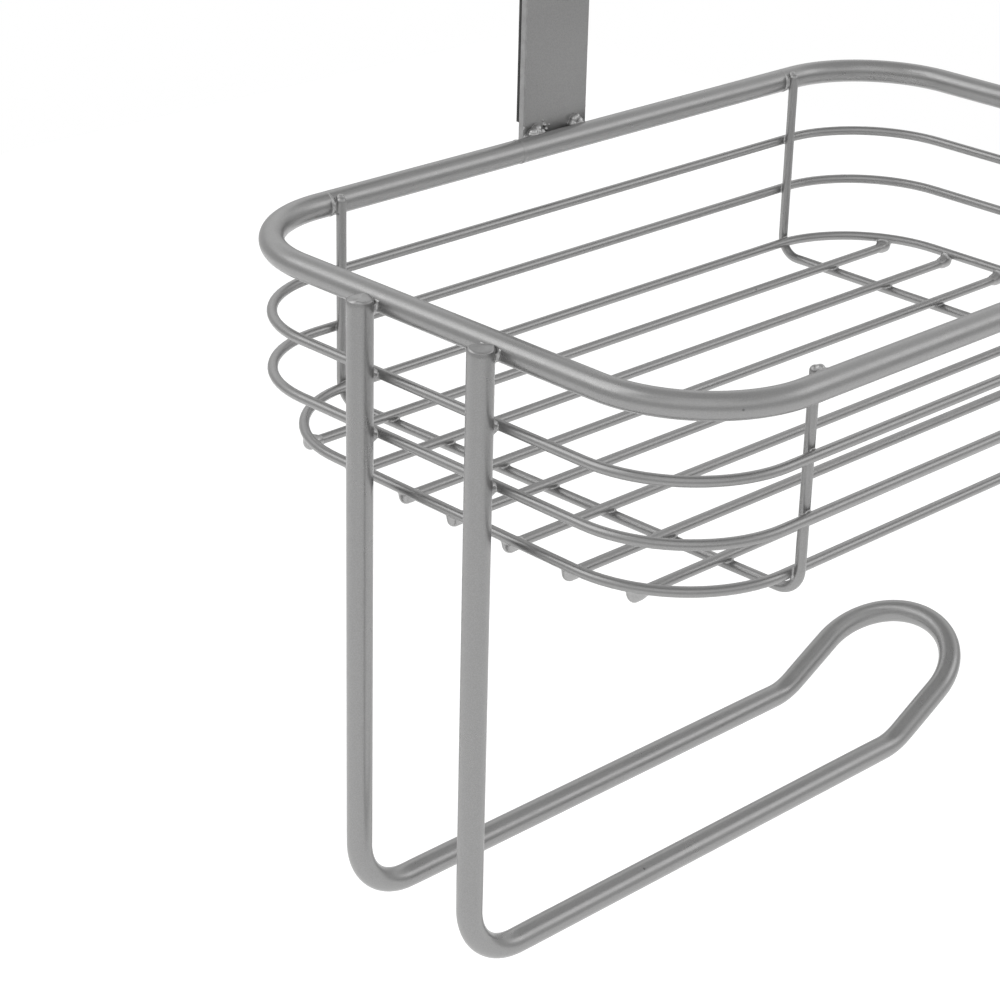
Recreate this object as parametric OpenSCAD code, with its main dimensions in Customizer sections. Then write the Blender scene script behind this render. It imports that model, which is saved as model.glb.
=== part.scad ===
// Hanging wire basket with a roll arm underneath.
// Origin: middle of the hook's inner seat. X runs along the basket, the legs of the arm are on -X,
// +Y points from the basket to the wall that the hook grips, +Z is up. Millimetres.

/* [Stock] */
// Diameter of the thick rod of the rim and the roll arm
rod_d = 6; // [5:0.1:6.5]
// Diameter of the thin wire of the rails, ring, ribs and base
wire_d = 2.4; // [2:0.1:2.8]
// Width of the flat hanger bar
strap_w = 22; // [18:1:26]
// Thickness of the flat hanger bar
strap_t = 2; // [1.5:0.1:2.5]

/* [Basket] */
// Outside length of the rim along X
rim_len = 233.2; // [225:1:240]
// Outside depth of the rim along Y
rim_depth = 154.6; // [148:0.1:160]
// Corner radius of the rim, to the rod's centre
rim_corner = 29; // [26:1:32]
// Depth of the upper rail below the rim, centre to centre
upper_rail_drop = 16.3; // [14:0.1:18]
// Depth of the lower rail below the rim, centre to centre
lower_rail_drop = 30.2; // [26:0.1:33]
// Depth of the base ring below the rim, centre to centre
ring_drop = 44.2; // [40:0.1:48]
// How much the base ring is drawn in from the rim at each end
ring_inset = 5.5; // [4:0.1:7]
// Spacing of the base wires
base_pitch = 17.3; // [16:0.1:18]
// How far each base wire, from the front, slipped backwards as it was welded
base_slips = [0.7, -0.8, -0.2, -0.2, -2, -1.7, -0.2]; // [-2.5:0.1:2.5]
// Place of each rib along the basket from its middle, left rib first
rib_xs = [-78.8, 80.3]; // [-82:0.1:82]
// How far each rib was turned out of square as it was welded, in degrees
rib_turns = [1.5, 0]; // [-2:0.1:2]
// Bend radius at the foot of each rib, to the wire's centre
rib_bend = 5.5; // [4:0.1:7]

/* [Roll arm] */
// Spacing of the two legs, centre to centre
leg_gap = 37.2; // [34:0.1:39]
// How far the pair of legs sits behind the middle of the basket
leg_back = 1.1; // [0:0.1:3]
// Depth of the level arm below the rim, centre to centre
arm_drop = 148.4; // [130:0.1:160]
// Radius of the lower bends, to the rod's centre
leg_bend = 15; // [12:0.5:18]
// Distance from the legs to the point where the arm starts to rise
arm_reach = 151.5; // [130:0.1:160]
// Angle of the rising end
rise_angle = 28.9; // [20:0.1:35]
// Radius of the bend where the arm starts to rise
rise_bend = 16; // [10:1:24]
// Length of the straight between the rising bend and the end loop
rise_len = 15.6; // [3:0.1:24]

/* [Hanger] */
// Height of the hook's seat above the rim's centre
seat_rise = 92; // [80:1:110]
// Clear gap inside the hook
hook_gap = 20; // [14:1:26]
// Inside radius of the hook's two bends
hook_bend = 3; // [2:0.5:4]
// Length of the hook's free tongue below the seat
tongue_len = 36; // [25:1:45]
// How far the basket's middle lies to the +X side of the strap
basket_shift = 3.8; // [0:0.1:6]
// Thickness of the pad on the strap's back
pad_t = 1.1; // [0.8:0.1:2]
// Length of the pad
pad_len = 46; // [30:1:46]
// Height of the pad's lower edge above the rim's centre
pad_rise = 5.5; // [4:0.5:8]

/* [Hidden] */

$fn = 96;
round_fn = 32;              // facets round a rod or wire
rod_lap = 0.1;              // how far the roll arm's straights reach over its bends

metal = [0.62, 0.62, 0.63];
weld_metal = [0.55, 0.55, 0.56];
pad_colour = [0.16, 0.16, 0.17];

// Depth that two welded wires sink into each other
wire_bite = 0.2;
rod_bite = 0.5;
post_bite = 0.2;
strap_bite = 0.1;

// Half sizes of the four loops, to the rod's or wire's centre
rim_a = (rim_len - rod_d) / 2;
rim_b = (rim_depth - rod_d) / 2;
post_y = rim_b - (rod_d + wire_d) / 2 + post_bite;
rail_a = rim_a - 0.2;
rail_b = post_y + wire_d - wire_bite;
rail_corner = rim_corner - 0.3;
ring_a = rim_a - ring_inset;
ring_b = post_y - wire_d + wire_bite;
ring_corner = rim_corner + 1;

// The legs touch the rim, and the rails are moved over until they touch the legs
leg_x = -(rim_a + rod_d - rod_bite);
rail_shift = leg_x + (rod_d + wire_d) / 2 - wire_bite + rail_a;
ring_shift = rail_shift - 0.5;
leg_ys = [leg_back - leg_gap / 2, leg_back + leg_gap / 2];
leg_top = 1.5;              // height of the legs' cut ends above the rim's centre
leg_chamfer = 0.5;

// The base wires lie under the ring, and the ribs cross under the base wires
base_z = -ring_drop - wire_d + wire_bite;
cross_z = base_z - wire_d + wire_bite;
post_top = 1.4;             // centre of the round post ends above the rim's centre

// Position of the basket below and in front of the hook
strap_back = rim_b + rod_d / 2 - strap_bite + strap_t;
basket_at = [basket_shift, -strap_back - hook_gap / 2, -seat_rise];
strap_foot = 3.5;           // how far the strap reaches below the rim's centre
strap_round = 3;            // corner radius of the strap's two ends

// Length that the rising bend takes from the straights on either side
rise_setback = rise_bend * tan(rise_angle / 2);

// A bent rod, one step after another: travel runs along +Z, and a turn leans towards +X after a roll.
// [length] goes straight, [angle, radius, roll] turns, and [[start_d, end_d], length] tapers.
// With a lap, a straight is a hair thicker and reaches over the ends of the bends beside it.
module rod_steps(d, steps, lap = 0, i = 0) {
    if (i < len(steps)) {
        step = steps[i];
        if (is_list(step[0])) {
            cylinder(d1 = step[0][0], d2 = step[0][1], h = step[1], $fn = round_fn);
            translate([0, 0, step[1]]) rod_steps(d, steps, lap, i + 1);
        } else if (len(step) == 1) {
            before = i > 0 && len(steps[i - 1]) == 3 ? lap : 0;
            after = i < len(steps) - 1 && len(steps[i + 1]) == 3 ? lap : 0;
            translate([0, 0, -before])
                cylinder(d = d + lap / 5, h = step[0] + before + after, $fn = round_fn);
            translate([0, 0, step[0]]) rod_steps(d, steps, lap, i + 1);
        } else {
            angle = step[0];
            radius = step[1];
            rotate([0, 0, step[2]]) {
                translate([radius, 0, 0])
                    rotate([90, 0, 180])
                        rotate_extrude(angle = angle) translate([radius, 0]) circle(d = d, $fn = round_fn);
                translate([radius * (1 - cos(angle)), 0, radius * sin(angle)])
                    rotate([0, angle, 0])
                        rotate([0, 0, -step[2]]) rod_steps(d, steps, lap, i + 1);
            }
        }
    }
}

// Closed rounded-rectangle loop, half sizes a and b to the rod's centre
module rod_loop(d, a, b, corner) {
    for (side = [-1, 1]) {
        translate([-(a - corner), side * b, 0])
            rotate([0, 90, 0]) cylinder(d = d, h = 2 * (a - corner), $fn = round_fn);
        translate([side * a, b - corner, 0])
            rotate([90, 0, 0]) cylinder(d = d, h = 2 * (b - corner), $fn = round_fn);
    }
    for (quarter = [0:3]) {
        centre_x = (quarter == 0 || quarter == 3 ? 1 : -1) * (a - corner);
        centre_y = (quarter < 2 ? 1 : -1) * (b - corner);
        translate([centre_x, centre_y, 0])
            rotate([0, 0, quarter * 90])
                rotate_extrude(angle = 90) translate([corner, 0]) circle(d = d, $fn = round_fn);
    }
}

module rim() {
    color(metal) translate(basket_at) rod_loop(rod_d, rim_a, rim_b, rim_corner);
}

module side_rail(drop) {
    color(metal) translate(basket_at + [rail_shift, 0, -drop]) rod_loop(wire_d, rail_a, rail_b, rail_corner);
}

module base_ring() {
    color(metal) translate(basket_at + [ring_shift, 0, -ring_drop]) rod_loop(wire_d, ring_a, ring_b, ring_corner);
}

// Half length of the base ring at a distance y from its middle
function ring_reach(y) =
    let (into = max(0, abs(y) - (ring_b - ring_corner)))
    ring_a - ring_corner + sqrt(ring_corner * ring_corner - into * into);

// Straight wire number i, counted from the front, with round ends just past the ring
module base_wire(i) {
    y = (i - 4) * base_pitch + base_slips[i - 1];
    half = ring_reach(y) - wire_d / 3;
    color(metal) translate(basket_at + [ring_shift, y, base_z]) {
        translate([-half, 0, 0]) rotate([0, 90, 0]) cylinder(d = wire_d, h = 2 * half, $fn = round_fn);
        for (side = [-1, 1]) translate([side * half, 0, 0]) sphere(d = wire_d, $fn = round_fn);
    }
}

// Puts things where rib number i stands, with the front post at -Y
module at_rib(i) {
    translate(basket_at + [rib_xs[i], 0, 0]) rotate([0, 0, rib_turns[i]]) children();
}

// U-shaped rib number i: down the front post, under the base and up the back post
module rib(i) {
    post_len = post_top - cross_z - rib_bend;
    color(metal) at_rib(i) translate([0, -post_y, post_top]) {
        sphere(d = wire_d, $fn = round_fn);
        rotate([180, 0, 0])
            rod_steps(wire_d, [
                [post_len],
                [90, rib_bend, -90],
                [2 * (post_y - rib_bend)],
                [90, rib_bend, -90],
                [post_len]]);
        translate([0, 2 * post_y, 0]) sphere(d = wire_d, $fn = round_fn);
    }
}

// One rod, bent from the front leg's cut end round the end loop and back up to the rear leg's
module tissue_arm() {
    leg_run = [
        [[rod_d - 2 * leg_chamfer, rod_d + rod_lap / 5], leg_chamfer],
        [leg_top - leg_chamfer + arm_drop - leg_bend],
        [90, leg_bend, 0],
        [arm_reach - leg_bend - rise_setback],
        [rise_angle, rise_bend, 0],
        [rise_len]];
    return_run = [for (i = [len(leg_run) - 1:-1:1]) leg_run[i]];
    end_taper = [[rod_d + rod_lap / 5, rod_d - 2 * leg_chamfer], leg_chamfer];
    end_loop = [180, leg_gap / 2, -90];
    color(metal)
        translate(basket_at + [leg_x, leg_ys[0], leg_top])
            rotate([180, 0, 0])
                rod_steps(rod_d, concat(leg_run, [end_loop], return_run, [end_taper]), rod_lap);
}

// Flat bar standing in the XZ plane, its top square and its lower corners round
module strap_blade(length) {
    straight = strap_w - 2 * strap_round;
    rotate([90, 0, 0]) translate([0, 0, -strap_t])
        linear_extrude(strap_t) {
            translate([-strap_w / 2, -length + strap_round]) square([strap_w, length - strap_round]);
            translate([-straight / 2, -length]) square([straight, strap_round * 2]);
            for (side = [-1, 1])
                translate([side * straight / 2, -length + strap_round]) circle(r = strap_round);
        }
}

// Quarter bend of the bar about the X axis, from facing up to facing +Y
module strap_bend() {
    translate([-strap_w / 2, 0, 0]) rotate([90, 0, 90])
        linear_extrude(strap_w)
            intersection() {
                difference() {
                    circle(r = hook_bend + strap_t);
                    circle(r = hook_bend);
                }
                translate([-2 * (hook_bend + strap_t), 0]) square(2 * (hook_bend + strap_t));
            }
}

module hanger_strap() {
    bend_y = hook_gap / 2 - hook_bend;
    color(metal) {
        translate([0, -hook_gap / 2 - strap_t, -hook_bend]) strap_blade(seat_rise + strap_foot - hook_bend);
        translate([0, -bend_y, -hook_bend]) strap_bend();
        translate([-strap_w / 2, -bend_y, 0]) cube([strap_w, 2 * bend_y, strap_t]);
        translate([0, bend_y, -hook_bend]) mirror([0, 1, 0]) strap_bend();
        translate([0, hook_gap / 2, -hook_bend]) strap_blade(tongue_len - hook_bend);
    }
}

module back_pad() {
    color(pad_colour)
        translate([-strap_w / 2 + 0.2, -hook_gap / 2, -seat_rise + pad_rise])
            cube([strap_w - 0.4, pad_t, pad_len]);
}

// Bead of weld metal at a place in the basket, to be cut back to the rods that it joins
module bead(at, r) {
    translate(basket_at + at) sphere(r = r, $fn = round_fn);
}

module rib_welds() {
    color(weld_metal) difference() {
        for (i = [0, 1], side = [-1, 1])
            at_rib(i) translate([0, side * (post_y + 0.6), 1.9]) sphere(r = 1.5, $fn = round_fn);
        rim();
        rib(0);
        rib(1);
    }
}

// The rim's end and the two legs are cut out of the beads as short plain rods
module arm_welds() {
    color(weld_metal) difference() {
        for (y = leg_ys, side = [-1, 1])
            bead([leg_x + rod_d / 2, y + side * 2.1, 0.6], 1.7);
        translate(basket_at + [-rim_a, 0, 0])
            rotate([90, 0, 0]) cylinder(d = rod_d, h = 2 * leg_gap, center = true, $fn = round_fn);
        for (y = leg_ys)
            translate(basket_at + [leg_x, y, 0])
                cylinder(d = rod_d + rod_lap / 5, h = 2 * rod_d, center = true, $fn = round_fn);
    }
}

module strap_welds() {
    strap_face = strap_back - strap_t;
    color(weld_metal) difference() {
        for (x = [-7.5, 6.7])
            bead([x - basket_shift, strap_face - 0.8, 2.9], 1.8);
        rim();
        hanger_strap();
    }
}

rim();
side_rail(upper_rail_drop);  // upper_rail
side_rail(lower_rail_drop);  // lower_rail
base_ring();
rib(0);  // left_rib
rib(1);  // right_rib
for (i = [1:7]) base_wire(i);
tissue_arm();
hanger_strap();
back_pad();
rib_welds();
arm_welds();
strap_welds();
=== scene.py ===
"""The looks of a welded wire basket with a roll arm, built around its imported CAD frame.

Thick rods are swept along their centrelines, with the small marks that bending and cutting leave.
Every weld is grown as a fillet from the distance to the pieces that it joins.
Lengths are in metres, in the frame's own axes: X along the basket, +Y towards the wall, +Z up.
"""

import math
from collections import namedtuple

import bpy
import numpy as np
import openvdb
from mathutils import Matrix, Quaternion, Vector


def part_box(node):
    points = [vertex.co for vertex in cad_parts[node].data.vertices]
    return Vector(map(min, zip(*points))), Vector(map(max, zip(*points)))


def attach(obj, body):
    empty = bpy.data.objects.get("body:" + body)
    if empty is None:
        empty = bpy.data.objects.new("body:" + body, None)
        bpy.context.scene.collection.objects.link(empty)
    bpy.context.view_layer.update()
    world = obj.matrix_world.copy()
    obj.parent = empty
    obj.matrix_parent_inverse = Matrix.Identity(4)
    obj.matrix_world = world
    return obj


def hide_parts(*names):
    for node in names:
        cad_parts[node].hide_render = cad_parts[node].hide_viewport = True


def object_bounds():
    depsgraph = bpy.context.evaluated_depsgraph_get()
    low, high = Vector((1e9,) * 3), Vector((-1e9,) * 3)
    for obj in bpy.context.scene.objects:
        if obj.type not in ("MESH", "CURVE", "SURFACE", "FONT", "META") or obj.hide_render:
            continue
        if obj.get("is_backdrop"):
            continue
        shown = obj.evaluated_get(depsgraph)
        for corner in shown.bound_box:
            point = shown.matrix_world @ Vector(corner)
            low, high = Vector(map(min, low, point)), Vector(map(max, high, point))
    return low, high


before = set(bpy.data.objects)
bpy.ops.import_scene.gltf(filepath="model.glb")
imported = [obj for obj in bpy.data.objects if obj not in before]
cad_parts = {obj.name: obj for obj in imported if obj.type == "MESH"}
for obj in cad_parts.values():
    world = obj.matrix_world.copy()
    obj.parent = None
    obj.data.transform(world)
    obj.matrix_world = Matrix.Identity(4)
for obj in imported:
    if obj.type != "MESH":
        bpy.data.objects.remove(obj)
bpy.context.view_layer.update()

MM = 0.001
X, Y, Z = Vector((1, 0, 0)), Vector((0, 1, 0)), Vector((0, 0, 1))

# ---------------------------------------------------------------- sizes read from the frame

Loop = namedtuple("Loop", "centre half_x half_y corner radius")


def middle(part):
    """The middle of a CAD node's box."""
    low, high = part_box(part)
    return (low + high) / 2


def half_size(part):
    """Half the sides of a CAD node's box."""
    low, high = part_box(part)
    return (high - low) / 2


def loop_of(part, corner):
    """The centreline of a level loop of rod: its middle, half sizes and corner radius."""
    half = half_size(part)
    return Loop(middle(part), half.x - half.z, half.y - half.z, corner, half.z)


RIM = loop_of("rim", 29 * MM)
UPPER_RAIL = loop_of("upper_rail", 28.7 * MM)
LOWER_RAIL = loop_of("lower_rail", 28.7 * MM)
BASE_RING = loop_of("base_ring", 30 * MM)
RIB_BEND = 5.5 * MM
RIB_TURNS = {"left_rib": math.radians(1.5), "right_rib": 0.0}
BASE_WIRES = [f"base_wire_{i}" for i in range(1, 8)]
ROD_R = RIM.radius
WIRE_R = UPPER_RAIL.radius

# The roll arm: half of it is drawn, and the other half mirrors it
ARM_LOW, ARM_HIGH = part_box("tissue_arm")
ARM_MIDDLE_Y = (ARM_LOW.y + ARM_HIGH.y) / 2
LEG_X = ARM_LOW.x + ROD_R
LEG_TOP = ARM_HIGH.z
ARM_Z = ARM_LOW.z + ROD_R
LEG_GAP = 37.2 * MM
LEG_BEND = 15 * MM
ARM_REACH = 151.5 * MM
RISE_ANGLE = math.radians(28.9)
RISE_BEND = 16 * MM
RISE_LENGTH = 15.6 * MM
LEG_YS = (ARM_MIDDLE_Y - LEG_GAP / 2, ARM_MIDDLE_Y + LEG_GAP / 2)

# The hanger strap and its pad
STRAP_LOW, STRAP_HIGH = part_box("hanger_strap")
STRAP_WIDTH = STRAP_HIGH.x - STRAP_LOW.x
STRAP_THICK = STRAP_HIGH.z
STRAP_FACE_Y = STRAP_LOW.y
STRAP_CORNER = 3 * MM
HOOK_BEND = 3 * MM
TONGUE_END_Z = -36 * MM
STRAP_EDGE = 0.35 * MM

# Meshes of the rods
ROD_STEP = 1.2 * MM
ROD_SIDES = 48
BEND_OVAL = 0.2             # squeeze of a bend's section, as a share of rod radius over bend radius
END_WEAR = 0.6              # rubbed paint in the middle of a sheared end; its edge has 1

# ---------------------------------------------------------------- meshes


def add_piece(name, vertices, faces, material, replaced, attributes):
    """Makes a smooth-shaded mesh piece on the root body, with its own values stored at the vertices."""
    mesh = bpy.data.meshes.new(name)
    mesh.from_pydata(np.asarray(vertices).tolist(), [], [list(map(int, f)) for f in faces])
    mesh.validate()
    mesh.shade_smooth()
    for key, values in attributes.items():
        layer = mesh.attributes.new(key, "FLOAT", "POINT")
        layer.data.foreach_set("value", np.asarray(values, np.float32))
    mesh.materials.append(material)
    piece = bpy.data.objects.new(name, mesh)
    bpy.context.scene.collection.objects.link(piece)
    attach(piece, "root")
    if replaced:
        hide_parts(*replaced)
    return piece


class Path:
    """A rod's centreline, drawn by going straight and by bending."""

    def __init__(self, start, heading, lift):
        self.points = [Vector(start)]
        self.heading = Vector(heading)
        self.lift = Vector(lift)

    @property
    def side(self):
        return self.lift.cross(self.heading)

    def straight(self, length, step=ROD_STEP):
        count = max(1, round(length / step))
        start = self.points[-1]
        self.points += [start + self.heading * (length * i / count) for i in range(1, count + 1)]

    def bend(self, towards, angle, radius):
        """Turns by an angle towards a unit vector that is square to the heading."""
        axis = self.heading.cross(towards)
        centre = self.points[-1] + towards * radius
        spoke = self.points[-1] - centre
        count = max(6, round(angle * radius / ROD_STEP))
        for i in range(1, count + 1):
            self.points.append(centre + Quaternion(axis, angle * i / count) @ spoke)
        turn = Quaternion(axis, angle)
        self.heading = turn @ self.heading
        self.lift = turn @ self.lift


def unit(vectors):
    return vectors / np.linalg.norm(vectors, axis=-1, keepdims=True)


def carried_normals(tangents, first):
    """A normal at each station, carried along the path without twist."""
    normals = [np.array(first, float)]
    for tangent in tangents[1:]:
        last = normals[-1]
        normals.append(unit(last - tangent * (last @ tangent)))
    return np.array(normals)


def smoothed(values, reach, closed):
    """A running mean along a path, over reach stations each way."""
    mode = "wrap" if closed else "edge"
    padded = np.pad(values, ((reach, reach), (0, 0)), mode=mode)
    kernel = np.ones(2 * reach + 1) / (2 * reach + 1)
    return np.stack([np.convolve(padded[:, k], kernel, "valid") for k in range(values.shape[1])], 1)


def cap_rings(tip, outward, normal, across, radius, profile, angles, tilt):
    """Rings of a sheared end: profile gives how far each lies past the tip and its share of the radius.

    The cut face falls away by tilt on both sides of a low ridge, and its edge is pinched out of round.
    """
    spokes = np.cos(angles)[:, None] * normal + np.sin(angles)[:, None] * across
    pinch = 0.35 * np.sin(2 * angles + 0.5) + 0.15 * np.sin(5 * angles)
    rings = []
    for past, share in profile:
        pinched = share * (1 + (1 - share) * pinch)
        leaning = tilt * (0.35 - np.abs(np.sin(angles - 0.5))) * pinched * min(1.0, 6 * (1 - share))
        rings.append(tip + outward * (past + leaning)[:, None] + spokes * (radius * pinched)[:, None])
    return rings


def sweep(points, lift, radius, closed=False, profile=(), tilt=0.0, relief=None):
    """Vertices, faces and wear of a round rod along a path. Bends are a little oval, as bent rod is.

    relief(along, angles) gives the height of small marks, from the length along the path and the angle.
    """
    around = ROD_SIDES
    centres = np.array(points, float)
    if closed:
        ahead = unit(np.roll(centres, -1, 0) - centres)
        behind = np.roll(ahead, 1, 0)
    else:
        steps = unit(np.diff(centres, axis=0))
        ahead = np.vstack([steps, steps[-1:]])
        behind = np.vstack([steps[:1], steps])
    tangents = unit(ahead + behind)
    normals = carried_normals(tangents, lift)
    across = np.cross(tangents, normals)
    angles = np.linspace(0, 2 * math.pi, around, endpoint=False)
    cosines, sines = np.cos(angles)[None, :, None], np.sin(angles)[None, :, None]
    spokes = cosines * normals[:, None] + sines * across[:, None]

    gaps = np.linalg.norm(np.diff(centres, axis=0), axis=1)
    along = np.concatenate([[0], np.cumsum(gaps)])
    spacing = np.maximum(np.gradient(along), 0.2 * MM)[:, None]
    bending = smoothed((ahead - behind) / spacing, 3, closed)
    strength = np.linalg.norm(bending, axis=1, keepdims=True)
    inward = bending / np.maximum(strength, 1e-6)
    squeeze = (BEND_OVAL * strength * radius)[:, :, None]
    towards_inside = np.einsum("nmk,nk->nm", spokes, inward)[:, :, None]
    spokes = spokes - squeeze * towards_inside * inward[:, None]
    heights = relief(along[:, None], angles[None]) if relief else np.zeros((len(centres), around))
    rings = list(centres[:, None] + spokes * (radius + heights)[:, :, None])
    wear = [np.zeros(around)] * len(rings)

    if not closed:
        section = (radius, profile, angles, tilt)
        last = cap_rings(centres[-1], tangents[-1], normals[-1], across[-1], *section)
        first = cap_rings(centres[0], -tangents[0], normals[0], across[0], *section)
        rings = first[::-1] + rings + last
        edge = [np.full(around, 1.0)] * len(profile)
        wear = edge + wear + edge
    vertices = np.concatenate(rings)
    wear = np.concatenate(wear)
    count = len(rings)
    faces = []
    for i in range(count if closed else count - 1):
        here, there = i * around, (i + 1) % count * around
        for j in range(around):
            k = (j + 1) % around
            faces.append((here + j, here + k, there + k, there + j))
    if not closed:
        for ring, turn in ((0, -1), (count - 1, 1)):
            start = ring * around
            vertices = np.vstack([vertices, vertices[start:start + around].mean(0)])
            wear = np.append(wear, END_WEAR)
            hub = len(vertices) - 1
            for j in range(around):
                corners = (start + j, start + (j + 1) % around, hub)
                faces.append(corners if turn > 0 else corners[::-1])
    return vertices, faces, wear


# ---------------------------------------------------------------- distances, for growing the welds

BARE_TOP = 1.6 * MM         # the leg's top that no weld covers
FLASH_THICK = 0.5 * MM
LUMP = 1.1 * MM             # size of the unevenness in weld metal
SINK = 0.09 * MM            # how far a weld's hidden part lies below the surfaces of its pieces

# How a kind of weld is grown: the reach of the ball that cuts it off, the width over which surfaces
# blend into each other, the fineness of its mesh and the height of its unevenness
Weld = namedtuple("Weld", "reach softness grain rough")


def past_box(beyond_a, beyond_b):
    """Distance outside a rectangle (negative inside it), from how far points are past it each way."""
    outside = np.hypot(np.maximum(beyond_a, 0), np.maximum(beyond_b, 0))
    inside = np.minimum(np.maximum(beyond_a, beyond_b), 0)
    return outside + inside


def loop_distance(loop):
    """Distance from points to the surface of a level loop of rod."""
    def distance(p):
        beyond_x = np.abs(p[:, 0] - loop.centre.x) - (loop.half_x - loop.corner)
        beyond_y = np.abs(p[:, 1] - loop.centre.y) - (loop.half_y - loop.corner)
        off_line = past_box(beyond_x, beyond_y) - loop.corner
        return np.hypot(off_line, p[:, 2] - loop.centre.z) - loop.radius
    return distance


def rib_half_depth(rib):
    """Half the distance between a rib's posts."""
    return (half_size(rib).y - WIRE_R) / math.cos(RIB_TURNS[rib])


def rib_distance(rib):
    """Distance to a U-shaped rib, which stands nearly square to X and is open at the top."""
    low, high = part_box(rib)
    mid = (low + high) / 2
    half_y = rib_half_depth(rib)
    base_z, tip_z = low.z + WIRE_R, high.z - WIRE_R
    cos, sin = math.cos(RIB_TURNS[rib]), math.sin(RIB_TURNS[rib])

    def distance(p):
        from_x, from_y = p[:, 0] - mid.x, p[:, 1] - mid.y
        out_of_plane = from_x * cos + from_y * sin
        height = np.minimum(p[:, 2], tip_z)
        past_tip = p[:, 2] - height
        beyond_y = np.abs(from_y * cos - from_x * sin) - (half_y - RIB_BEND)
        below = base_z + RIB_BEND - height
        in_plane = np.abs(past_box(beyond_y, below) - RIB_BEND)
        return np.sqrt(in_plane ** 2 + past_tip ** 2 + out_of_plane ** 2) - WIRE_R
    return distance


def wire_distance(wire):
    """Distance to a straight wire along X with round ends."""
    mid, half = middle(wire), half_size(wire)

    def distance(p):
        past_end = np.maximum(np.abs(p[:, 0] - mid.x) - (half.x - WIRE_R), 0)
        return np.sqrt(past_end ** 2 + (p[:, 1] - mid.y) ** 2 + (p[:, 2] - mid.z) ** 2) - WIRE_R
    return distance


def leg_distance(y):
    """Distance to the roll arm's upright leg at y, short of its cut top, which the welds leave bare."""
    def distance(p):
        return np.maximum(np.hypot(p[:, 0] - LEG_X, p[:, 1] - y) - ROD_R, p[:, 2] - LEG_TOP + BARE_TOP)
    return distance


def ball_distance(centre, radius):
    """Distance to a ball of weld metal."""
    return lambda p: np.linalg.norm(p - np.array(centre), axis=1) - radius


def strap_distance(p):
    """Distance to the strap's long upright blade, whose corners are round."""
    half_z = -STRAP_LOW.z / 2
    beyond_x = np.abs(p[:, 0]) - STRAP_WIDTH / 2 + STRAP_CORNER
    beyond_z = np.abs(p[:, 2] + half_z) - half_z + STRAP_CORNER
    through = np.abs(p[:, 1] - STRAP_FACE_Y - STRAP_THICK / 2) - STRAP_THICK / 2
    return past_box(past_box(beyond_x, beyond_z) - STRAP_CORNER, through)


def thread_distance(start, end, radius):
    """Distance to a short straight thread of weld metal with round ends."""
    start, span = np.array(start), np.array(end) - np.array(start)

    def distance(p):
        share = np.clip((p - start) @ span / (span @ span), 0, 1)
        return np.linalg.norm(p - start - share[:, None] * span, axis=1) - radius
    return distance


def flash_distance(place, reach):
    """Distance to metal squeezed out round the rim beside a post: a ridge that thins with distance."""
    skin = loop_distance(RIM)

    def distance(p):
        away = np.linalg.norm(p - np.array(place), axis=1)
        thickness = FLASH_THICK * np.maximum(1 - (away / reach) ** 2, -1)
        return np.hypot(skin(p), p[:, 0] - place[0]) - thickness
    return distance


def softly_joined(distances, softness):
    """The least of several distances, rounded where two are within softness of each other."""
    joined = distances[0]
    for other in distances[1:]:
        overlap = np.maximum(softness - np.abs(joined - other), 0) / softness
        joined = np.minimum(joined, other) - overlap ** 2 * softness / 4
    return joined


def lumps(p, size, seed):
    """Smooth unevenness between about -1 and 1, with lumps of a given size."""
    source = np.random.default_rng(seed)
    waves = source.normal(size=(5, 3)) / size
    phases = source.uniform(0, 2 * math.pi, 5)
    return np.sin(p @ waves.T + phases).mean(1) * 1.6


def grown(centre, distances, kind, seed):
    """Skin of the metal around a weld: the pieces joined softly, cut off by a ball.

    Away from the weld the skin lies just below the pieces, so that only the fillet shows.
    """
    reach, softness, grain, rough = kind
    centre = np.array(centre, float)
    axis = np.arange(-reach, reach + grain, grain)
    grid = np.stack(np.meshgrid(axis, axis, axis, indexing="ij"), -1).reshape(-1, 3)
    points = grid + centre
    fields = [distance(points) + SINK for distance in distances]
    bumpy = rough * lumps(points, LUMP, seed)
    field = softly_joined(fields, softness) - bumpy
    field = np.maximum(field, np.linalg.norm(grid, axis=1) - reach + 2 * grain)
    count = len(axis)
    volume = openvdb.FloatGrid(1.0)
    volume.copyFromArray((field / grain).reshape(count, count, count))
    corners, quads = volume.convertToQuads()
    vertices = corners * grain - reach + centre
    # Closeness to the corner between two pieces: the paint is darker there as painted shade, and rougher
    spread = np.sort(np.stack([distance(vertices) for distance in distances], 1), 1)
    crevice = np.clip(1 - (spread[:, 1] - spread[:, 0]) / softness, 0, 1)
    return vertices, quads[:, ::-1], crevice


def merged(parts):
    """One mesh out of several (vertices, faces, values) parts."""
    vertices, faces, values, start = [], [], [], 0
    for part_vertices, part_faces, part_values in parts:
        vertices.append(part_vertices)
        faces.append(np.asarray(part_faces) + start)
        values.append(part_values)
        start += len(part_vertices)
    return np.concatenate(vertices), np.concatenate(faces), np.concatenate(values)


# ---------------------------------------------------------------- materials

# Noise scales, in waves per metre
MOTTLE, HAZE, PEEL, FLAKE = 60, 420, 650, 3800
DUST, PORES = 150, 2600
SPECKS = 120.0              # cells per metre, of which few hold a speck of dirt
SPECK_PATCHES = 37          # noise that picks those few

# Shares of the paint's extra colours, at most
SPARKLE = 0.22
# Painted shade in the corners between welded pieces
CORNER_PAINTED_SHADE = 0.08
RUBBED = 0.5
SPECK_DARKENING = 0.6
METAL_SHARE = 0.85


def node(tree, kind, inputs=None, **settings):
    """Adds a shader node. Inputs are plain values, or other nodes' outputs to link."""
    made = tree.nodes.new(kind)
    for key, value in settings.items():
        setattr(made, key, value)
    for key, value in (inputs or {}).items():
        if isinstance(value, bpy.types.NodeSocket):
            tree.links.new(value, made.inputs[key])
        else:
            made.inputs[key].default_value = value
    return made


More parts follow.
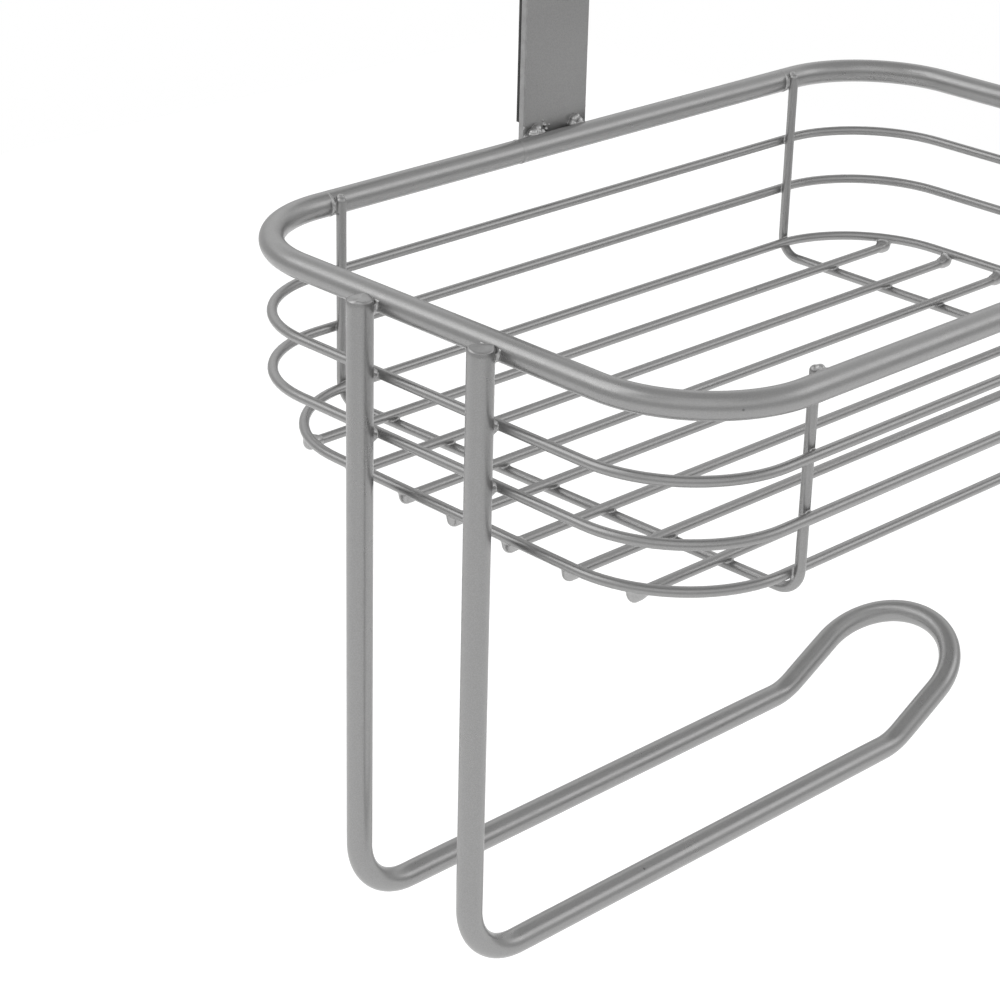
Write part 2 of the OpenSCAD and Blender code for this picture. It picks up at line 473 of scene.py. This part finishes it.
def noise(tree, place, scale, detail, roughness=0.5):
    """Fine-grained noise from 0 to 1; scale is in waves per metre."""
    made = node(tree, "ShaderNodeTexNoise", {"Vector": place, "Scale": scale, "Detail": detail,
                                             "Roughness": roughness})
    return made.outputs["Fac"]


def cells(tree, place, scale):
    """Distance to the nearest of scattered points; scale is in cells per metre."""
    return node(tree, "ShaderNodeTexVoronoi", {"Vector": place, "Scale": scale}).outputs["Distance"]


def stored_value(tree, name):
    """A value stored at the mesh's vertices, or 0 where the mesh has none of that name."""
    return node(tree, "ShaderNodeAttribute", attribute_name=name).outputs["Fac"]


def ranged(tree, value, low, high, to_low, to_high):
    """Value from low..high mapped to to_low..to_high, and held at those limits."""
    made = node(tree, "ShaderNodeMapRange", {"Value": value, "From Min": low, "From Max": high,
                                             "To Min": to_low, "To Max": to_high})
    return made.outputs["Result"]


def math_node(tree, operation, first, second):
    """The result of a sum on two values or sockets."""
    return node(tree, "ShaderNodeMath", {0: first, 1: second}, operation=operation).outputs[0]


def colour_mix(tree, share, first, second):
    """Mixes two colours; the colour sockets of the node come after its number and vector sockets."""
    made = node(tree, "ShaderNodeMix", data_type="RGBA")
    for socket, value in ((0, share), (6, first), (7, second)):
        if isinstance(value, bpy.types.NodeSocket):
            tree.links.new(value, made.inputs[socket])
        else:
            made.inputs[socket].default_value = value
    return made.outputs[2]


def grey(value, warm=0.0):
    """A grey, or a warmer one, as a colour with alpha."""
    return (value * (1 + warm), value, value * (1 - warm), 1)


def new_material(name):
    """A material with its node tree and its shader node."""
    material = bpy.data.materials.new(name)
    material.use_nodes = True
    tree = material.node_tree
    return material, tree, tree.nodes["Principled BSDF"]


def metallic_paint(name, brightness, roughness, peel):
    """Satin nickel-grey spray: metal flake, slight orange peel, painted shade in weld corners, rubbed
    edges, specks.
    """
    material, tree, shader = new_material(name)
    place = node(tree, "ShaderNodeTexCoord").outputs["Object"]
    mottle = noise(tree, place, MOTTLE, 3)
    flake = noise(tree, place, FLAKE, 1)
    haze = noise(tree, place, HAZE, 3, 0.6)
    crevice = stored_value(tree, "crevice")
    wear = stored_value(tree, "wear")

    colour = colour_mix(tree, mottle, grey(brightness * 0.93, 0.004), grey(brightness * 1.05, 0.004))
    sparkle = ranged(tree, flake, 0.38, 0.64, 0.0, 1.0)
    sparkle_share = math_node(tree, "MULTIPLY", sparkle, SPARKLE)
    colour = colour_mix(tree, sparkle_share, colour, grey(brightness * 1.45))
    # Painted shade: the colour darkens where two welded pieces meet, standing in for the shade in that
    # corner
    painted_corner_shade = math_node(tree, "MULTIPLY", crevice, CORNER_PAINTED_SHADE)
    colour = colour_mix(tree, painted_corner_shade, colour, grey(brightness * 0.5))
    rubbed = math_node(tree, "MULTIPLY", wear, ranged(tree, haze, 0.42, 0.62, 0.0, RUBBED))
    colour = colour_mix(tree, rubbed, colour, grey(brightness * 1.35))

    speck_core = ranged(tree, cells(tree, place, SPECKS), 0.025, 0.05, 1.0, 0.0)
    speck_rare = ranged(tree, noise(tree, place, SPECK_PATCHES, 0), 0.56, 0.6, 0.0, 1.0)
    speck = math_node(tree, "MULTIPLY", speck_core, speck_rare)
    speck_share = math_node(tree, "MULTIPLY", speck, SPECK_DARKENING)
    colour = colour_mix(tree, speck_share, colour, grey(brightness * 0.25))

    rough = ranged(tree, mottle, 0.3, 0.7, roughness - 0.035, roughness + 0.035)
    rough = math_node(tree, "ADD", rough, ranged(tree, haze, 0.3, 0.7, -0.03, 0.03))
    rough = math_node(tree, "ADD", rough, math_node(tree, "MULTIPLY", crevice, 0.1))

    peel_bump = node(tree, "ShaderNodeBump", {"Strength": peel, "Distance": 0.03 * MM,
                                              "Height": noise(tree, place, PEEL, 2)})
    flake_bump = node(tree, "ShaderNodeBump", {"Strength": peel * 0.6, "Distance": 0.008 * MM,
                                               "Height": flake, "Normal": peel_bump.outputs["Normal"]})
    pit_bump = node(tree, "ShaderNodeBump", {"Strength": 0.5, "Distance": 0.08 * MM, "Height": speck,
                                             "Normal": flake_bump.outputs["Normal"]}, invert=True)
    tree.links.new(colour, shader.inputs["Base Color"])
    tree.links.new(rough, shader.inputs["Roughness"])
    tree.links.new(pit_bump.outputs["Normal"], shader.inputs["Normal"])
    shader.inputs["Metallic"].default_value = METAL_SHARE
    return material


def foam(name):
    """Matt black closed-cell foam with fine pores and dust in its lighter patches."""
    material, tree, shader = new_material(name)
    place = node(tree, "ShaderNodeTexCoord").outputs["Object"]
    pores = cells(tree, place, PORES)
    dust = noise(tree, place, DUST, 4, 0.65)
    wear = stored_value(tree, "wear")
    colour = colour_mix(tree, pores, grey(0.012), grey(0.03))
    colour = colour_mix(tree, ranged(tree, dust, 0.5, 0.8, 0.0, 0.35), colour, grey(0.07, 0.03))
    colour = colour_mix(tree, math_node(tree, "MULTIPLY", wear, 0.35), colour, grey(0.09))
    bump = node(tree, "ShaderNodeBump", {"Strength": 0.8, "Distance": 0.12 * MM, "Height": pores})
    tree.links.new(colour, shader.inputs["Base Color"])
    tree.links.new(ranged(tree, dust, 0.3, 0.7, 0.82, 0.96), shader.inputs["Roughness"])
    tree.links.new(bump.outputs["Normal"], shader.inputs["Normal"])
    return material


rod_paint = metallic_paint("rod_paint", brightness=0.295, roughness=0.31, peel=0.25)
strap_paint = metallic_paint("strap_paint", brightness=0.3, roughness=0.33, peel=0.25)
# Painted highlight: the welds get a lighter copy of the rods' paint, so their ridges and flashes glint
# brighter
weld_paint_painted_highlight = metallic_paint("weld_paint_painted_highlight", brightness=0.38, roughness=0.24, peel=0.3)
pad_foam = foam("pad_foam")

for carried in ("upper_rail", "lower_rail", "base_ring", *RIB_TURNS, *BASE_WIRES):
    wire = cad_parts[carried]
    wire.data.materials.clear()
    wire.data.materials.append(rod_paint)

# ---------------------------------------------------------------- rim

SEAM_X = RIM.centre.x - 19.6 * MM
SEAM_FINE = 3 * MM          # finer steps this far each side of the seam
SEAM_STEP = 0.25 * MM
BEAD_HEIGHT = 0.10 * MM
GROOVE_DEPTH = 0.16 * MM
SEAM_JOG = 0.05 * MM


def rim_path():
    """The rim's centreline, starting and ending at the butt weld in its back straight."""
    path = Path((SEAM_X, RIM.centre.y + RIM.half_y, RIM.centre.z), -X, Z)
    straight_x, straight_y = RIM.half_x - RIM.corner, RIM.half_y - RIM.corner
    path.straight(SEAM_FINE, SEAM_STEP)
    path.straight(SEAM_X - (RIM.centre.x - straight_x) - SEAM_FINE)
    for length in (2 * straight_y, 2 * straight_x, 2 * straight_y):
        path.bend(path.side, math.pi / 2, RIM.corner)
        path.straight(length)
    path.bend(path.side, math.pi / 2, RIM.corner)
    path.straight(RIM.centre.x + straight_x - SEAM_X - SEAM_FINE)
    path.straight(SEAM_FINE, SEAM_STEP)
    return path.points[:-1]


def seam_relief(along, angles):
    """The ground-down bead of the butt weld, with the two ends a hair out of line."""
    length = along.max() + SEAM_STEP
    offset = np.where(along > length / 2, along - length, along)
    bead = BEAD_HEIGHT * np.exp(-(offset / (0.55 * MM)) ** 2)
    bead = bead * (1 + 0.5 * np.sin(3 * angles + 1))
    groove = -GROOVE_DEPTH * np.exp(-((offset - 0.5 * MM) / (0.3 * MM)) ** 2)
    groove = groove * (0.6 + 0.4 * np.sin(2 * angles))
    step = SEAM_JOG * np.cos(angles - 0.7) * np.tanh(offset / (0.3 * MM))
    step = step * np.exp(-np.abs(offset) / (4 * MM))
    return bead + groove + step


vertices, faces, wear = sweep(rim_path(), Z, ROD_R, closed=True, relief=seam_relief)
add_piece("rim_rod", vertices, faces, rod_paint, ["rim"], {"wear": wear})

# ---------------------------------------------------------------- roll arm

CUT = 0.55 * MM             # how far the sheared end's rounding reaches
CUT_TILT = 0.5 * MM


def arm_path():
    """The arm's centreline from the front leg's top to the end loop's middle, then mirrored back."""
    path = Path((LEG_X, LEG_YS[0], LEG_TOP - CUT), -Z, X)
    path.straight(LEG_TOP - CUT - ARM_Z - LEG_BEND)
    path.bend(path.lift, math.pi / 2, LEG_BEND)
    path.straight(ARM_REACH - LEG_BEND - RISE_BEND * math.tan(RISE_ANGLE / 2))
    path.bend(path.lift, RISE_ANGLE, RISE_BEND)
    path.straight(RISE_LENGTH)
    path.bend(path.side, math.pi / 2, LEG_GAP / 2)
    there = path.points
    back = [Vector((p.x, 2 * ARM_MIDDLE_Y - p.y, p.z)) for p in reversed(there[:-1])]
    return there + back


# The sheared end's rings: how far each lies past the rod's last full ring, and its share of the radius
CUT_PROFILE = ((0.2 * CUT, 0.985), (0.45 * CUT, 0.95), (0.78 * CUT, 0.89), (0.96 * CUT, 0.83),
               (CUT, 0.77), (0.97 * CUT, 0.5), (0.95 * CUT, 0.25))
vertices, faces, wear = sweep(arm_path(), X, ROD_R, profile=CUT_PROFILE, tilt=CUT_TILT)
add_piece("arm_rod", vertices, faces, rod_paint, ["tissue_arm"], {"wear": wear})

# ---------------------------------------------------------------- hanger strap


def strap_path():
    """The strap's middle line, from the tongue's end over the hook and down to its foot."""
    bend = HOOK_BEND + STRAP_THICK / 2
    gap_y = STRAP_HIGH.y - STRAP_THICK / 2
    path = Path((0, gap_y, TONGUE_END_Z), Z, -Y)
    path.straight(-TONGUE_END_Z - HOOK_BEND)
    path.bend(-Y, math.pi / 2, bend)
    path.straight(2 * (gap_y - bend))
    path.bend(-Z, math.pi / 2, bend)
    path.straight(-HOOK_BEND - STRAP_LOW.z)
    return path.points


def strap_section(width):
    """Half-round-edged rectangle, as (across, through) pairs going round once."""
    corners = []
    inner_x, inner_y = width / 2 - STRAP_EDGE, STRAP_THICK / 2 - STRAP_EDGE
    for quarter, (sign_x, sign_y) in enumerate(((1, 1), (-1, 1), (-1, -1), (1, -1))):
        for step in range(6):
            angle = math.radians(90 * quarter + 18 * step)
            corners.append((sign_x * inner_x + STRAP_EDGE * math.cos(angle),
                            sign_y * inner_y + STRAP_EDGE * math.sin(angle)))
    return corners


def strap_mesh():
    """The bent bar, with rounded corners at both ends and rubbed edges."""
    points = strap_path()
    centres = np.array(points, float)
    tangents = unit(np.gradient(centres, axis=0))
    along = np.concatenate([[0], np.cumsum(np.linalg.norm(np.diff(centres, axis=0), axis=1))])
    total = along[-1]
    stations = [STRAP_CORNER * (1 - math.cos(math.radians(angle))) for angle in range(10, 90, 8)]
    keep = (along > STRAP_CORNER) & (along < total - STRAP_CORNER)
    places = np.concatenate([stations, along[keep], total - np.array(stations[::-1])])
    middle_line = np.stack([np.interp(places, along, centres[:, k]) for k in range(3)], 1)
    headings = unit(np.stack([np.interp(places, along, tangents[:, k]) for k in range(3)], 1))
    outward = np.cross(headings, np.array(X))
    vertices, wear = [], []
    for place, mid, out in zip(places, middle_line, outward):
        into = max(0.0, STRAP_CORNER - min(place, total - place))
        width = STRAP_WIDTH - 2 * (STRAP_CORNER - math.sqrt(STRAP_CORNER ** 2 - into ** 2))
        for across, through in strap_section(width):
            vertices.append(mid + np.array(X) * across + out * through)
            wear.append(1.0 if abs(across) > width / 2 - STRAP_EDGE * 0.9 else 0.0)
    around = len(strap_section(STRAP_WIDTH))
    faces = []
    for i in range(len(places) - 1):
        for j in range(around):
            k = (j + 1) % around
            faces.append((i * around + j, i * around + k, (i + 1) * around + k, (i + 1) * around + j))
    last = (len(places) - 1) * around
    faces.append(tuple(range(around))[::-1])
    faces.append(tuple(last + j for j in range(around)))
    return vertices, faces, wear


vertices, faces, wear = strap_mesh()
add_piece("hanger_bar", vertices, faces, strap_paint, ["hanger_strap"], {"wear": wear})

# ---------------------------------------------------------------- pad


PAD_COLUMNS, PAD_ROWS = 44, 92
PAD_ROUNDING = 0.2 * MM     # drop of the face at its edges
PAD_ROUNDED = 0.4 * MM      # width of the rounded margin
PAD_WORN = 0.8 * MM         # width of the rubbed margin
PAD_UNEVEN = 0.02 * MM


def pad_mesh():
    """A thin slab of foam whose edges are pressed round and whose face is slightly uneven."""
    low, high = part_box("back_pad")
    across_count, up_count = PAD_COLUMNS, PAD_ROWS
    vertices, wear = [], []
    for face in (0, 1):
        for i in range(up_count + 1):
            for j in range(across_count + 1):
                x = low.x + (high.x - low.x) * j / across_count
                z = low.z + (high.z - low.z) * i / up_count
                edge = min(x - low.x, high.x - x, z - low.z, high.z - z)
                rounding = PAD_ROUNDING * max(0.0, 1 - edge / PAD_ROUNDED) ** 2
                uneven = PAD_UNEVEN * math.sin(x * 900) * math.sin(z * 700 + 1)
                y = high.y - rounding - abs(uneven) if face else low.y
                vertices.append((x, y, z))
                wear.append(max(0.0, 1 - edge / PAD_WORN))
    row, sheet = across_count + 1, (across_count + 1) * (up_count + 1)
    faces = []
    for i in range(up_count):
        for j in range(across_count):
            a, b, c, d = i * row + j, i * row + j + 1, (i + 1) * row + j + 1, (i + 1) * row + j
            faces.append((a, b, c, d))
            faces.append((sheet + d, sheet + c, sheet + b, sheet + a))
    border = list(range(row))
    border += [i * row + across_count for i in range(1, up_count + 1)]
    border += [up_count * row + j for j in range(across_count - 1, -1, -1)]
    border += [i * row for i in range(up_count - 1, 0, -1)]
    for first, second in zip(border, border[1:] + border[:1]):
        faces.append((second, first, sheet + first, sheet + second))
    return vertices, faces, wear


vertices, faces, wear = pad_mesh()
pad = add_piece("foam_pad", vertices, faces, pad_foam, ["back_pad"], {"wear": wear})

# ---------------------------------------------------------------- welds

POST_WELD = Weld(4.9 * MM, 0.5 * MM, 0.12 * MM, 0.03 * MM)
LEG_WELD = Weld(5.6 * MM, 1.9 * MM, 0.13 * MM, 0.02 * MM)
LEG_RAIL_WELD = Weld(3.6 * MM, 1.2 * MM, 0.12 * MM, 0.03 * MM)
POST_RAIL_WELD = Weld(2.4 * MM, 0.9 * MM, 0.12 * MM, 0.05 * MM)
POST_RING_WELD = Weld(2.6 * MM, 1.0 * MM, 0.12 * MM, 0.05 * MM)
BASE_WELD = Weld(2.4 * MM, 1.0 * MM, 0.12 * MM, 0.06 * MM)
WIRE_END_WELD = Weld(4.0 * MM, 1.5 * MM, 0.14 * MM, 0.05 * MM)
STRAP_WELD = Weld(6.6 * MM, 0.5 * MM, 0.14 * MM, 0.05 * MM)

# First seed of each group of welds
POST_SEED, LEG_SEED, LEG_RAIL_SEED, WIRE_SEED, STRAP_SEED = 20, 40, 50, 100, 301

# Round a post's tip, in mm along X, outwards and up: the middle of its weld, a bead, and two flashes
# on the rim with how far each reaches
POST_MIDDLE = (0, 1.5, -0.8)
POST_BEAD, POST_BEAD_RADIUS = (0.5, 0.9, 0.5), 1.1 * MM
POST_FLASHES = (((-1.2, 0.6, -1.1), 4.2 * MM), ((1.35, 0.6, -1.1), 2.6 * MM))

# Threads of metal on both sides of a leg where a rail meets it
THREAD_APART = 1.9 * MM
THREAD_HALF = 0.8 * MM
THREAD_RADIUS = 0.4 * MM

# Balls of weld metal on the strap's front, in mm from the bead's middle on the rim: along X,
# out of the strap's face (negative is outwards), up, and radius
LEFT_BEAD = ((-2.5, -1.0, 1.7, 1.35), (-1.3, -1.2, 3.1, 1.35), (0.4, -0.8, 3.7, 1.3),
             (0.1, -1.7, 2.2, 1.4), (1.6, -1.0, 2.5, 1.3), (-2.5, -1.8, 0.7, 0.95))
SPATTER = ((3.7, -0.15, 4.0, 0.55), (4.4, -0.1, 2.7, 0.42), (3.2, -0.15, 5.2, 0.3),
           (-3.4, -0.1, 4.4, 0.26), (5.4, -0.1, 3.7, 0.22))
RIGHT_BEAD = ((-1.2, -0.7, 2.4, 1.2), (-0.7, -0.6, 3.8, 1.05), (0.5, -0.5, 4.1, 1.0),
              (1.3, -0.7, 2.9, 1.15), (1.1, -1.4, 1.7, 0.9), (-0.9, -1.5, 1.4, 0.9),
              (0.1, -0.1, 2.8, 1.1))
BEAD_INSET = 1.8 * MM       # from the end of the strap welds' box to a bead's middle

rim_skin = loop_distance(RIM)
ring_skin = loop_distance(BASE_RING)
rail_skins = [(rail, loop_distance(rail)) for rail in (UPPER_RAIL, LOWER_RAIL)]


def along_rib(rib, share):
    """A place (x, y) on a rib's lower wire: share -1 is under its front post, 1 under its back post."""
    reach = share * rib_half_depth(rib)
    mid, turn = middle(rib), RIB_TURNS[rib]
    return mid.x - reach * math.sin(turn), mid.y + reach * math.cos(turn)


def post_places(rib):
    """The two upright posts of a rib, as (x, y, the side of the basket that it stands on)."""
    return [(*along_rib(rib, side), side) for side in (-1, 1)]


def beside(post, z, shift):
    """A place shifted in mm from a post at height z: along X, outwards and up."""
    x, y, side = post
    return (x + shift[0] * MM, y + side * shift[1] * MM, z + shift[2] * MM)


def rib_fillets():
    """Welds that hold the posts' tops to the inside of the rim, with metal drawn up over each top."""
    parts = []
    for number, rib in enumerate(RIB_TURNS):
        tip_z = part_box(rib)[1].z - WIRE_R
        for post in post_places(rib):
            skins = [rim_skin, rib_distance(rib)]
            skins.append(ball_distance(beside(post, tip_z, POST_BEAD), POST_BEAD_RADIUS))
            skins += [flash_distance(beside(post, tip_z, shift), reach) for shift, reach in POST_FLASHES]
            seed = POST_SEED + 10 * number + post[2]
            parts.append(grown(beside(post, tip_z, POST_MIDDLE), skins, POST_WELD, seed))
    return merged(parts)


def leg_thread(y, z):
    """An upright thread of weld metal between a leg and the rail that it touches."""
    x = LEG_X + 0.8 * ROD_R
    return thread_distance((x, y, z - THREAD_HALF), (x, y, z + 0.5 * THREAD_HALF), THREAD_RADIUS)


def arm_fillets():
    """Welds that hold the legs to the rim and to the two rails."""
    parts = []
    for number, y in enumerate(LEG_YS):
        leg = leg_distance(y)
        touch = (LEG_X + ROD_R, y, RIM.centre.z)
        parts.append(grown(touch, [rim_skin, leg], LEG_WELD, LEG_SEED + number))
        for rail, skin in rail_skins:
            touch = (LEG_X + ROD_R, y, rail.centre.z)
            threads = [leg_thread(y + side * THREAD_APART, rail.centre.z) for side in (-1, 1)]
            skins = [leg, skin, *threads]
            parts.append(grown(touch, skins, LEG_RAIL_WELD, LEG_RAIL_SEED + number))
    return merged(parts)


def wire_end(wire, end):
    """The squashed end of a base wire under the ring, as its place, its pieces and its kind."""
    mid, half = middle(wire), half_size(wire)
    tip_x = mid.x + end * (half.x - WIRE_R)
    touch = (tip_x - end * 0.6 * MM, mid.y, mid.z + 0.5 * WIRE_R)
    nugget_z = mid.z + 0.1 * MM
    nugget_start = (tip_x - end * 1.3 * MM, mid.y, nugget_z)
    nugget_end = (tip_x - end * 0.2 * MM, mid.y, nugget_z)
    nugget = thread_distance(nugget_start, nugget_end, WIRE_R + 0.2 * MM)
    return touch, [wire_distance(wire), ring_skin, nugget], WIRE_END_WELD


def wire_fillets():
    """Small resistance welds wherever two thin wires touch, and the squashed ends of the base wires."""
    welds = []
    for rib in RIB_TURNS:
        rib_skin = rib_distance(rib)
        wire_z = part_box(rib)[0].z + 2 * WIRE_R
        for x, y, side in post_places(rib):
            for rail, skin in rail_skins:
                welds.append(((x, y + side * WIRE_R, rail.centre.z), [rib_skin, skin], POST_RAIL_WELD))
            touch = (x, y - side * WIRE_R, BASE_RING.centre.z)
            welds.append((touch, [rib_skin, ring_skin], POST_RING_WELD))
        for wire in BASE_WIRES:
            y = middle(wire).y
            x = along_rib(rib, (y - middle(rib).y) / rib_half_depth(rib))[0]
            welds.append(((x, y, wire_z), [rib_skin, wire_distance(wire)], BASE_WELD))
    welds += [wire_end(wire, end) for wire in BASE_WIRES for end in (-1, 1)]
    parts = [grown(*weld, WIRE_SEED + number) for number, weld in enumerate(welds)]
    return merged(parts)


def strap_beads():
    """The two uneven beads on the strap's front, one with spatter beside it, and their fillets."""
    low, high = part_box("strap_welds")
    beads = ((low.x + BEAD_INSET, LEFT_BEAD + SPATTER), (high.x - BEAD_INSET, RIGHT_BEAD))
    face, top = STRAP_FACE_Y, RIM.centre.z
    parts = []
    for number, (bead_x, balls) in enumerate(beads):
        skins = [strap_distance, rim_skin]
        for x, y, z, radius in balls:
            place = (bead_x + x * MM, face + y * MM, top + z * MM)
            skins.append(ball_distance(place, radius * MM))
        centre = (bead_x + 0.8 * MM, face, top + 2.4 * MM)
        parts.append(grown(centre, skins, STRAP_WELD, STRAP_SEED + number))
    return merged(parts)


WELD_PIECES = {
    "rib_fillets": (rib_fillets, ["rib_welds"]),
    "arm_fillets": (arm_fillets, ["arm_welds"]),
    "wire_fillets": (wire_fillets, []),
    "strap_beads": (strap_beads, ["strap_welds"]),
}
for name, (weld, replaced) in WELD_PIECES.items():
    vertices, faces, crevice = weld()
    add_piece(name, vertices, faces, weld_paint_painted_highlight, replaced, {"crevice": crevice})

# ---------------------------------------------------------------- studio and camera

FLOOR_DROP = 260 * MM       # the basket hangs, so the floor lies well below it
FLOOR_SIZE = 2.3
FLOOR_GLOW = 0.31

# Brightness of the surroundings by the sine of the elevation: dark just above the floor's edge,
# brightest in a soft band about a quarter of the way up, and dimmer overhead
SKY = ((-1.0, 0.95), (-0.3, 0.85), (-0.2, 0.68), (0.2, 0.66),
       (0.36, 1.12), (0.5, 1.1), (0.78, 0.66), (1.0, 0.62))
SEEN_SKY = 1.0              # what the camera sees of it is plain white

# Square area lights: name, azimuth and elevation in degrees, side in metres, power in watts
LIGHTS = (("key", -128, 42, 1.15, 4.6), ("fill", 46, 27, 0.8, 1.3), ("front", -44, 52, 1.1, 1.3))
LIGHT_DISTANCE = 1.6

CAMERA_FROM_RIM = Vector((-478.65, -391.51, 206.58)) * MM
CAMERA_AZIMUTH, CAMERA_ELEVATION, CAMERA_ROLL = (math.radians(a) for a in (-44.43, 24.81, 1.41))
CAMERA_LENS, CAMERA_SENSOR = 98.9, 36
CAMERA_SHIFT = (-0.002, 0.0027)


def sky_brightness(tree):
    """The surroundings' brightness, read from the direction of each ray."""
    direction = node(tree, "ShaderNodeTexCoord").outputs["Generated"]
    height = node(tree, "ShaderNodeSeparateXYZ", {"Vector": direction}).outputs["Z"]
    level = SKY[0][1]
    for (low, dark), (high, light) in zip(SKY, SKY[1:]):
        level = math_node(tree, "ADD", level, ranged(tree, height, low, high, 0.0, light - dark))
    return level


def studio():
    """A plain pale floor under soft light that comes from all round."""
    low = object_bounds()[0]
    bpy.ops.mesh.primitive_plane_add(size=FLOOR_SIZE, location=(0, 0, low.z - FLOOR_DROP))
    floor = bpy.context.object
    floor.name = "floor"
    material, _, shader = new_material("pale_floor")
    shader.inputs["Base Color"].default_value = grey(0.9)
    shader.inputs["Roughness"].default_value = 0.9
    shader.inputs["Emission Color"].default_value = grey(1.0)
    shader.inputs["Emission Strength"].default_value = FLOOR_GLOW
    floor.data.materials.append(material)
    floor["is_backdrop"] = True

    world = bpy.data.worlds.new("studio")
    bpy.context.scene.world = world
    world.use_nodes = True
    tree = world.node_tree
    background = tree.nodes["Background"]
    seen = node(tree, "ShaderNodeLightPath").outputs["Is Camera Ray"]
    strength = math_node(tree, "MULTIPLY", sky_brightness(tree), math_node(tree, "SUBTRACT", 1.0, seen))
    strength = math_node(tree, "ADD", strength, math_node(tree, "MULTIPLY", seen, SEEN_SKY))
    tree.links.new(strength, background.inputs["Strength"])
    background.inputs["Color"].default_value = grey(1.0)


def direction_to(azimuth, elevation):
    """Unit vector from the basket to where a light or the camera stands. Azimuth 0 looks along +Y."""
    flat = math.cos(elevation)
    return Vector((math.sin(azimuth) * flat, -math.cos(azimuth) * flat, math.sin(elevation)))


def stand(name, data, from_rim, back, roll=0.0):
    """Puts a light or camera in the scene, looking the opposite way to back."""
    made = bpy.data.objects.new(name, data)
    bpy.context.scene.collection.objects.link(made)
    made.location = Vector(RIM.centre) + from_rim
    made.rotation_mode = "QUATERNION"
    made.rotation_quaternion = (-back).to_track_quat("-Z", "Y") @ Quaternion(Z, roll)
    return made


def soft_light(name, azimuth, elevation, size, power):
    """A square area light that looks at the rim's middle."""
    back = direction_to(math.radians(azimuth), math.radians(elevation))
    light = bpy.data.lights.new(name, "AREA")
    light.size = size
    light.energy = power
    stand(name, light, back * LIGHT_DISTANCE, back)


def camera():
    """The photograph's viewpoint, given from the rim's middle."""
    data = bpy.data.cameras.new("camera")
    data.lens = CAMERA_LENS
    data.sensor_width = CAMERA_SENSOR
    data.shift_x, data.shift_y = CAMERA_SHIFT
    back = direction_to(CAMERA_AZIMUTH, CAMERA_ELEVATION)
    bpy.context.scene.camera = stand("camera", data, CAMERA_FROM_RIM, back, CAMERA_ROLL)


studio()
for settings in LIGHTS:
    soft_light(*settings)
camera()
bpy.context.scene.view_settings.view_transform = "Standard"
